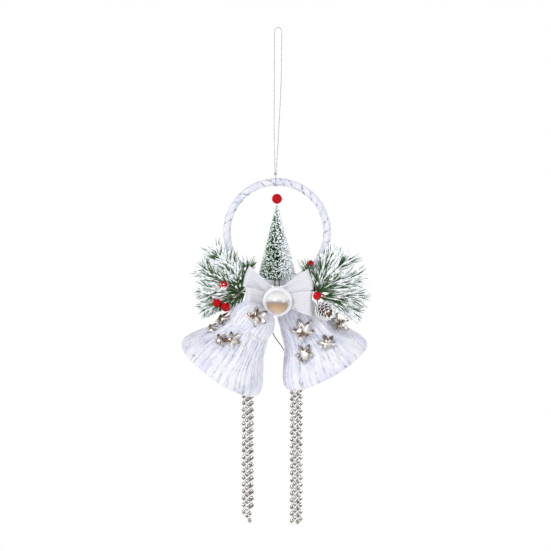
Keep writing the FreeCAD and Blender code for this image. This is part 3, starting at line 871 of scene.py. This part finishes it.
def leaf_shape(length, width, arch):
    """A lobed leaf with pointed tips, ribs down its lobes and an arched blade, about 0.5 thick."""
    angles = np.arange(LEAF_COLUMNS) * 360.0 / LEAF_COLUMNS - 180
    reach = np.full(LEAF_COLUMNS, 0.34)
    rib = np.zeros(LEAF_COLUMNS)
    for centre, size, spread in LOBES:
        off = np.abs((angles - centre + 180) % 360 - 180)
        reach = np.maximum(reach, size * np.maximum(0, 1 - (off / (spread * 1.9)) ** 1.15) ** 0.9)
        rib = np.maximum(rib, np.exp(-(off / 4.5) ** 2))
    points, hollow_shade = [], []
    for face in (1, -1):
        for i in range(LEAF_ROWS):
            share = (i + 0.02) / (LEAF_ROWS - 1)
            for angle, size, ridge in zip(np.radians(angles), reach, rib):
                x = math.cos(angle) * size * share * length * 0.76
                y = math.sin(angle) * size * share * width * 0.80
                far = math.hypot(x / length, y / width)
                z = arch * (0.35 - 1.6 * far**2) * 2 + 0.9 * ridge * share * (1 - share * 0.5)
                points.append((x, y, z + face * 0.22 * (1 - 0.8 * share)))
                # How much painted shade each point gets: none on the ribs, more towards the rim.
                hollow_shade.append((1 - ridge) * share * 0.6)
    faces = grid_faces(LEAF_ROWS, LEAF_COLUMNS)
    back = LEAF_ROWS * LEAF_COLUMNS
    faces += [tuple(reversed(face)) for face in grid_faces(LEAF_ROWS, LEAF_COLUMNS, start=back)]
    rim, back_rim = back - LEAF_COLUMNS, 2 * back - LEAF_COLUMNS
    for j in range(LEAF_COLUMNS):
        k = (j + 1) % LEAF_COLUMNS
        faces.append((rim + j, rim + k, back_rim + k, back_rim + j))
    return np.array(points), faces, hollow_shade


def make_leaf(batch, side, station, around, turn, length, width):
    """One leaf with its stem, held off the bell and turned a little to the front."""
    spot, normal, down = bell_point(side, station, math.radians(around), 1.3 + 0.12 * length)
    normal = unit(normal + np.array([0, -0.45, 0]))
    down = unit(down - normal * normal.dot(down))
    cross = np.cross(normal, down)
    points, faces, hollow_shade = leaf_shape(length, width, LEAF_ARCH)
    angle = math.radians(turn)
    spun = points.copy()
    spun[:, 0] = points[:, 0] * math.cos(angle) - points[:, 1] * math.sin(angle)
    spun[:, 1] = points[:, 0] * math.sin(angle) + points[:, 1] * math.cos(angle)
    batch.add(spot + spun @ np.array([down, cross, normal]), faces, hollow_shade)
    foot = spot - swing(down, cross, angle) * length * 0.28 - normal * 0.2
    stem, stem_faces = tube_shape(np.linspace(spot, foot, 5), 0.4, 6)
    # The stem carries a fixed painted shade.
    batch.add(stem, stem_faces, 0.4)


def make_leaves(foil):
    for name, (side, leaves) in LEAVES.items():
        batch = Batch()
        for leaf in leaves:
            make_leaf(batch, side, *leaf)
        piece = batch.piece(name + "_foil", foil, key="hollow_shade")
        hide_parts(name)


# ---------------------------------------------------------------- tassels

# Each string: its place across and behind the knot, its beads, and how much lower than the rest it starts.
STRANDS = {
    "left": [(-3.7, 2.1, 23, 0.0), (-0.7, -2.1, 23, 3.1), (1.8, 2.1, 24, 1.5), (3.7, -2.1, 22, 0.0)],
    "right": [(-4.0, 2.1, 26, 0.0), (-1.4, -2.1, 25, 3.1), (1.3, 2.1, 26, 1.2), (3.9, -2.1, 25, 4.0)],
}
BEAD_R = 1.98
BEAD_PITCH = 6.12
FIRST_BEAD_DROP = 17.5


def bead_string(name, first, count, silver, body):
    """A row of dimpled beads with the thread's end knot under the last one."""
    batch = Batch()
    for k in range(count):
        points, faces = ball_shape(first - [0, 0, k * BEAD_PITCH], BEAD_R, 12, 18, dimple=0.12)
        batch.add(points, faces)
    end = first - [0, 0, (count - 1) * BEAD_PITCH + BEAD_R + 0.35]
    points, faces = ball_shape(end, 0.55, 6, 8)
    batch.add(points, faces)
    string = batch.piece(name, silver, body)
    return string


def thread_curve(name, route, thread, body):
    curve = nurbs(name, [tuple(p) for p in route])
    curve.bevel_depth = 0.25 * MM
    curve.bevel_resolution = 2
    curve.splines[0].resolution_u = 10
    curve.materials.append(thread)
    cord = bpy.data.objects.new(curve.name, curve)
    bpy.context.scene.collection.objects.link(cord)
    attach(cord, body)
    return cord


def make_tassel(side, thread, silver):
    body = side + "_tassel"
    low, high = (np.array(corner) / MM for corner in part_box(side + "_tassel_knot"))
    knot = np.array([(low[0] + high[0]) / 2, (low[1] + high[1]) / 2, low[2] + 1.5])
    for number, (across, deep, count, lower) in enumerate(STRANDS[side], 1):
        first = knot + [across, deep, -FIRST_BEAD_DROP - lower]
        string = bead_string(f"{side}_bead_string_{number}", first, count, silver, body)
        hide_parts(f"{side}_tassel_beads_{number}")
        bottom = first - [0, 0, (count - 1) * BEAD_PITCH + BEAD_R + 1.0]
        route = [knot + [across * 0.18, deep * 0.25, -1.49], knot + [across * 0.7, deep * 0.7, -7.5],
                 knot + [across, deep, -14.0], bottom + [0.15, 0, 0]]
        cord = thread_curve(f"{side}_string_{number}", route, thread, body)
        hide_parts(f"{side}_tassel_thread_{number}")


# ---------------------------------------------------------------- bow and pearl

# Each loop: its root, its far fold and its ribbon's width.
BOW_LOOPS = {
    "bow_upper_left_loop": ((-5, -14.0, -241), (-28.5, -17.0, -223.5), 19.0),
    "bow_lower_left_loop": ((-6, -14.5, -245), (-28.5, -22.5, -242.1), 16.7),
    "bow_upper_right_loop": ((5, -14.0, -240), (31.0, -17.0, -226.5), 19.0),
    "bow_lower_right_loop": ((8, -15.5, -246), (31.5, -18.0, -248.8), 22.5),
}
BOW_ROOT_HALF = 5.0
FOLD_R = 3.4
RIBBON_HALF_THICK = 0.17
ALONG, ACROSS = 200, 84
COLLAR_CENTRE = np.array([0.4, -20.5, -247.0])
COLLAR_MAJOR = 10.5
COLLAR_R = 2.85
COLLAR_ROWS, COLLAR_COLUMNS = 120, 24


class Fold:
    """A loop of ribbon seen edge on: out along one straight, round the fold and back to the root."""

    def __init__(self, length):
        self.centre = length - FOLD_R
        self.half = math.acos(FOLD_R / self.centre)
        self.tangent = np.array([self.centre - FOLD_R * math.cos(self.half), FOLD_R * math.sin(self.half)])
        self.straight = np.linalg.norm(self.tangent)
        self.turn = 2 * (math.pi - self.half) * FOLD_R
        self.total = 2 * self.straight + self.turn

    def at(self, along):
        """The place and the direction at a distance along the ribbon."""
        if along < self.straight:
            return self.tangent * along / self.straight, self.tangent / self.straight
        if along < self.straight + self.turn:
            angle = math.pi - self.half - (along - self.straight) / FOLD_R
            place = np.array([self.centre, 0]) + FOLD_R * np.array([math.cos(angle), math.sin(angle)])
            return place, np.array([math.sin(angle), -math.cos(angle)])
        back = np.array([self.tangent[0], -self.tangent[1]])
        return back * (self.total - along) / self.straight, -back / self.straight


def ribbon_points(fold, length, root, axes, width, phase):
    """Points of both faces of a ribbon loop, with how its ribs and its lines lie."""
    out, wide, deep = axes
    upright = np.array([0, 0, math.copysign(1.0, wide[2])])
    points, rib, line = [], [], []
    for face in (RIBBON_HALF_THICK, -RIBBON_HALF_THICK):
        for i in range(ALONG):
            at = fold.total * i / (ALONG - 1)
            place, ahead = fold.at(at)
            front = 1 if place[1] >= 0 else -1
            share = min(1.0, max(0.0, place[0] / length))
            half_width = BOW_ROOT_HALF + (width / 2 - BOW_ROOT_HALF) * share ** 0.75
            spread = unit(wide * (1 - 0.5 * share) + upright * 0.5 * share)
            for j in range(ACROSS):
                v = 2 * j / (ACROSS - 1) - 1
                pleat = (1.0 * (1 - share) + 0.25) * math.sin(6.5 * v + phase + 2 * share)
                puff = 0.55 * share * (1 - v * v)
                x = place[0] - ahead[1] * face + 0.5 * math.sin(3 * v + phase) * share - 0.4
                y = place[1] * (0.95 - 0.08 * v * v) + ahead[0] * face + 0.6 * front * (pleat + puff)
                points.append(root + out * x + spread * v * half_width - deep * y)
                hem = 1.0 if abs(v) > 0.9 else 0.0
                rib.append(0.5 + 0.5 * math.sin(at * 2 * math.pi / 1.5) * (1 - hem))
                line.append(max(hem, 0.5 + 0.5 * math.sin(v * half_width * 2 * math.pi / 1.4)))
    return points, {"rib": rib, "line": line}


def make_bow(ribbon):
    for seed, (name, (root, tip, width)) in enumerate(BOW_LOOPS.items(), 20):
        root, tip = np.array(root, float), np.array(tip, float)
        length = np.linalg.norm(tip - root)
        out = (tip - root) / length
        wide = unit(np.cross(out, [0, 1.0, 0]))
        phase = np.random.default_rng(seed).uniform(0, 6)
        fold = Fold(length)
        points, values = ribbon_points(fold, length, root, (out, wide, np.cross(wide, out)), width, phase)
        piece = new_piece(name + "_ribbon", points, slab_faces(ALONG, ACROSS), ribbon, values=values)
        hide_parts(name)


def make_pearl(pearl, satin):
    low, high = (np.array(corner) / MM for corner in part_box("pearl"))
    centre, radius = (low + high) / 2, (high[0] - low[0]) / 2
    points, faces = ball_shape(centre, radius, 40, 60, (0.2, -0.9, 0.3), dimple=0.03)
    bead = new_piece("pearl_with_painted_reflection", points, faces, pearl)
    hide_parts("pearl")
    points = []
    for t in np.arange(COLLAR_ROWS) * 2 * math.pi / COLLAR_ROWS:
        out = np.array([math.sin(t), 0, math.cos(t)])
        for phi in np.arange(COLLAR_COLUMNS) * 2 * math.pi / COLLAR_COLUMNS:
            gather = 0.22 * math.sin(26 * t) * max(0.0, -math.cos(phi - 0.6)) + 0.1 * math.sin(7 * t)
            r = COLLAR_R + gather
            ring_r = COLLAR_MAJOR + r * math.cos(phi)
            points.append(COLLAR_CENTRE + out * ring_r + [0, r * math.sin(phi), 0])
    collar = new_piece("satin_collar", points, grid_faces(COLLAR_ROWS, COLLAR_COLUMNS, True, True), satin)
    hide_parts("pearl_collar")


# ---------------------------------------------------------------- sprays

# Each twig: its root, its tip and the radius that its needles stay within.
TWIGS = {
    "left": [((-33, -11.5, -236), (-60, -10.5, -196), 7.5), ((-33, -11.5, -233), (-46, -12.5, -206), 6.5),
             ((-36, -12.5, -238), (-69, -10.5, -216), 7.5), ((-38, -13.5, -240), (-70, -9.5, -236), 7.0),
             ((-42, -9.5, -243), (-66, -3.5, -254), 5.5)],
    "right": [((36, -9.5, -236), (52, -9.5, -202), 7.0), ((37, -10.5, -236), (66, -10.5, -205), 7.5),
              ((38, -11.5, -238), (76, -9.5, -224), 7.5), ((42, -9.5, -242), (78, -6.5, -242), 7.0),
              ((50, -1.5, -246), (72, 0.5, -258), 5.5)],
}
# More tufts that fill the gaps between the hoop and the bow.
FILLS = {
    "left": [((-29, -9.5, -240), (-44, -14, -249), 5.0), ((-33, -8.0, -241), (-25, -8.5, -210), 4.6),
             ((-36, -9.0, -243), (-34, -12, -222), 5.0),
             ((-34, -10, -240), (-48, -13, -226), 6.0), ((-36, -10, -242), (-56, -12, -248), 6.0),
             ((-34, -8.0, -240), (-42, -9, -208), 5.5)],
    "right": [((34, -7.0, -239), (26, -6.5, -213), 3.6), ((37, -9.0, -243), (37, -12, -222), 5.0),
              ((36, -10, -241), (54, -13, -226), 6.0), ((38, -10, -243), (60, -12, -247), 6.0),
              ((36, -8.0, -240), (44, -9, -208), 5.5)],
}
FILL_BARE = 0.45                     # how much fewer needles these have, and how much less chance of snow
TWIG_SHARE = 0.86
# How each side's needles are drawn: the left spray is short and bushy, the right one long and swept.
TUFTS = {
    "left": {"seed": 31, "needles": 310, "snowy": 0.62, "spread": (0.35, 0.95), "reach": (11, 19),
             "thick": (0.30, 0.52)},
    "right": {"seed": 47, "needles": 170, "snowy": 0.74, "spread": (0.18, 0.62), "reach": (15, 27),
              "thick": (0.28, 0.44)},
}


def needle_shape(root, direction, out, reach, thick, snowy):
    """A needle that curves a little outwards and sags, with its frost along it."""
    steps = np.linspace(0, 1, 5)[:, None]
    line = root + direction * reach * steps + out * 0.10 * reach * steps**2 + [0, 0, -0.4] * steps**2
    widths = thick * np.array([0.9, 1.1, 1.35, 1.25, 0.25] if snowy else [0.9, 1.1, 1.0, 0.8, 0.25])
    points, faces = tube_shape(line, widths, 5)
    frost = np.repeat([0.05, 0.35, 0.65, 0.8, 0.9] if snowy else [0.0, 0.0, 0.05, 0.1, 0.3], 5)
    above = (points - np.repeat(line, 5, axis=0))[:, 2] / thick
    return points, faces, frost + 0.25 * above, line


def fill_tuft(batch, rng, tuft, start, tip, radius, bare):
    """Needles in a spiral along one twig, kept inside the tuft's radius and length."""
    axis = unit(tip - start)
    long = np.linalg.norm(tip - start)
    first, second = square_to(axis)
    for k in range(int(tuft["needles"] * (1 - bare))):
        along = long * rng.uniform(0.0, 0.9) * TWIG_SHARE
        root = start + axis * along
        angle = k * GOLDEN_ANGLE + rng.normal(0, 0.3)
        out = swing(first, second, angle)
        spread = rng.uniform(*tuft["spread"])
        reach = min(rng.uniform(*tuft["reach"]), (long * 1.02 - along) * 1.15 + 4)
        direction = unit(axis + out * spread)
        reach = min(reach, radius * 1.25 / max(0.15, direction.dot(out)))
        thick = rng.uniform(*tuft["thick"])
        snowy = rng.random() < tuft["snowy"] - bare
        points, faces, frost, line = needle_shape(root, direction, out, reach, thick, snowy)
        batch.add(points, faces, frost)
        if snowy and rng.random() < 0.45:
            lump, lump_faces = ball_shape(line[3] + rng.normal(0, 0.25, 3), rng.uniform(0.6, 1.25), 5, 6,
                                          direction, stretch=rng.uniform(1.3, 2.2))
            batch.add(lump + rng.normal(0, 0.06, lump.shape), lump_faces, 1.0)


def make_spray(side, needles, wire):
    tuft = TUFTS[side]
    rng = np.random.default_rng(tuft["seed"])
    batch, stems = Batch(), Batch()
    twigs = [(twig, 0.0) for twig in TWIGS[side]] + [(twig, FILL_BARE) for twig in FILLS[side]]
    for (start, tip, radius), bare in twigs:
        start, tip = np.array(start, float), np.array(tip, float)
        path = start + (tip - start) * np.linspace(0, 1, 9)[:, None] * TWIG_SHARE
        stems.add(*tube_shape(path, np.linspace(0.55, 0.3, 9), 6))
        fill_tuft(batch, rng, tuft, start, tip, radius, bare)
    greens = batch.piece(side + "_pine_needles", needles)
    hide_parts(side + "_spray_needles")
    twigs = stems.piece(side + "_pine_twigs", wire)


# Each berry: its centre, its radius and whether snow lies on it.
BERRIES = {
    "left": [((-53.6, -17.5, -248.3), 4.0, False), ((-46.0, -21.5, -252.0), 4.0, False),
             ((-47.7, -21.0, -232.5), 3.8, True)],
    "right": [((36.0, -20.0, -242.0), 3.8, False), ((30.2, -8.0, -212.5), 2.6, False)],
}


def add_snow(flakes, rng, centre, radius):
    """Small flat lumps of snow over the top and front of a berry."""
    for _ in range(70):
        direction = unit(rng.normal(0, 1, 3) + [0, -0.4, -1.5])
        size = rng.uniform(0.35, 0.8)
        lump, faces = ball_shape(centre + direction * radius, size, 5, 6, direction, stretch=0.6)
        flakes.add(lump, faces, 1.0)


def make_berries(side, red, dark, snow):
    batch, caps, flakes = Batch(), Batch(), Batch()
    rng = np.random.default_rng(5)
    axis = unit([0.3, -0.8, -0.4])
    for centre, radius, snowy in BERRIES[side]:
        centre = np.array(centre, float)
        batch.add(*ball_shape(centre, radius, 24, 32, axis, dimple=0.06))
        tip = centre + axis * radius * 0.97
        for spoke in ring_points(tip, axis, 0.75, 5, 0.3):
            caps.add(*tube_shape(np.linspace(tip, spoke + axis * 0.12, 4), [0.24, 0.2, 0.14, 0.06], 5))
        if snowy:
            add_snow(flakes, rng, centre, radius)
    piece = batch.piece(side + "_red_berries", red)
    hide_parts(side + "_berries")
    stars = caps.piece(side + "_berry_tips", dark)
    if flakes.count:
        flakes.piece(side + "_berry_snow", snow)


CONE_CENTRE = np.array([42.0, -19.0, -254.5])
CONE_AXIS = unit([0.45, -0.75, -0.25])
CONE_LENGTH = 20.0
CONE_R = 10.6
SCALES = 74
SCALE_HALF_THICK = 0.22
SCALE_ROWS, SCALE_COLUMNS = 6, 7


def cone_scale(root, direction, side, reach, width):
    """One scale: a thin curved slab, widest past its middle, with frost towards its edges."""
    normal = np.cross(side, direction)
    shape, frost = [], []
    for face in (SCALE_HALF_THICK, -SCALE_HALF_THICK):
        for u in np.linspace(0, 1, SCALE_ROWS):
            half_width = width * math.sin(math.pi * (0.22 + 0.60 * u)) * 0.62
            for v in np.linspace(-1, 1, SCALE_COLUMNS):
                shape.append(root + direction * reach * u * (1 - 0.12 * v * v) + side * v * half_width
                             + normal * (face - 0.7 * u**2 + 0.35 * v * v))
                frost.append(max(u, 0.8 * abs(v) * u) * 1.25)
    return shape, slab_faces(SCALE_ROWS, SCALE_COLUMNS), frost


def make_cone(cone):
    """Curved scales in a spiral round the cone, with frosted edges."""
    batch = Batch()
    batch.add(*ball_shape(CONE_CENTRE, CONE_R * 0.5, 14, 18, CONE_AXIS, stretch=1.7))
    first, second = square_to(CONE_AXIS)
    for k in range(SCALES):
        share = (k + 0.5) / SCALES
        level = CONE_LENGTH * (0.86 * share - 0.44)
        swell = math.sqrt(max(0.02, 1 - (level / (CONE_LENGTH * 0.47)) ** 2))
        out = swing(first, second, k * GOLDEN_ANGLE)
        direction = unit(out * swell + CONE_AXIS * (0.35 + 0.9 * share))
        root = CONE_CENTRE + CONE_AXIS * level + out * CONE_R * 0.45 * swell
        reach, width = CONE_R * 0.56 * (0.45 + 0.55 * swell), 3.3 * (0.4 + 0.6 * swell)
        batch.add(*cone_scale(root, direction, np.cross(CONE_AXIS, out), reach, width))
    piece = batch.piece("frosted_pine_cone", cone)
    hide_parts("pine_cone")


# ---------------------------------------------------------------- make everything

def paint(node, mat):
    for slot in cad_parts[node].material_slots:
        slot.material = mat


make_camera()
thread = thread_material()
make_hanging_loop(thread)
make_studio()

white_wrap = wrap_material("white_strip", (0.20, 0.20, 0.25), 0.7)
hoop_wrap = wrap_material("hoop_strip", (0.07, 0.07, 0.10), 1.0)
wire = material("dark_stem_wire", (0.16, 0.15, 0.10), rough=0.6, noise=(600, 0.35), bump=(1500, 0.3, 0.0002))
red = material("red_lacquer", (0.47, 0.0, 0.005), rough=0.22, noise=(120, 0.2), coat=0.1, specular=0.08)
silver = silver_bead_material()
steel = material("plain_wire", (0.62, 0.62, 0.63), rough=0.3, metal=1.0, noise=(400, 0.1))
shell = material("bell_inside", (0.80, 0.80, 0.84), rough=0.6, noise=(90, 0.06), bump=(700, 0.3, 0.0003))
satin = material("white_satin", (0.86, 0.85, 0.89), rough=0.38, noise=(160, 0.05), bump=(1200, 0.2, 0.0002),
                 sheen=0.5)
bristle = frosted_material("brush_bristle", (0.008, 0.11, 0.02), (0.08, 0.36, 0.10), painted_glow=0.08)
needles = frosted_material("snowy_needle", (0.01, 0.07, 0.02), (0.10, 0.22, 0.06), painted_glow=0.10)
cone = frosted_material("frosted_cone", (0.10, 0.055, 0.03), (0.26, 0.16, 0.09))
ribbon = ribbon_material()
foil = leaf_material()

make_hoop(hoop_wrap)
make_tree(bristle, wire, red)
for number, side in enumerate(BELLS):
    make_bell(side, white_wrap, 7 + number)
    make_tassel(side, thread, silver)
    make_spray(side, needles, wire)
    make_berries(side, red, wire, needles)
    for part, mat in (("bell_shell", shell), ("bell_hanger", steel), ("tassel_ring", steel),
                      ("tassel_knot", thread), ("spray_wires", wire), ("berry_wires", wire)):
        paint(f"{side}_{part}", mat)
make_leaves(foil)
make_bow(ribbon)
make_pearl(pearl_material(), satin)
make_cone(cone)
for node in ("binding_wire", "binding_tail", "pine_cone_wire"):
    paint(node, wire)
paint("hoop_core", shell)
paint("bow_tie_band", ribbon)
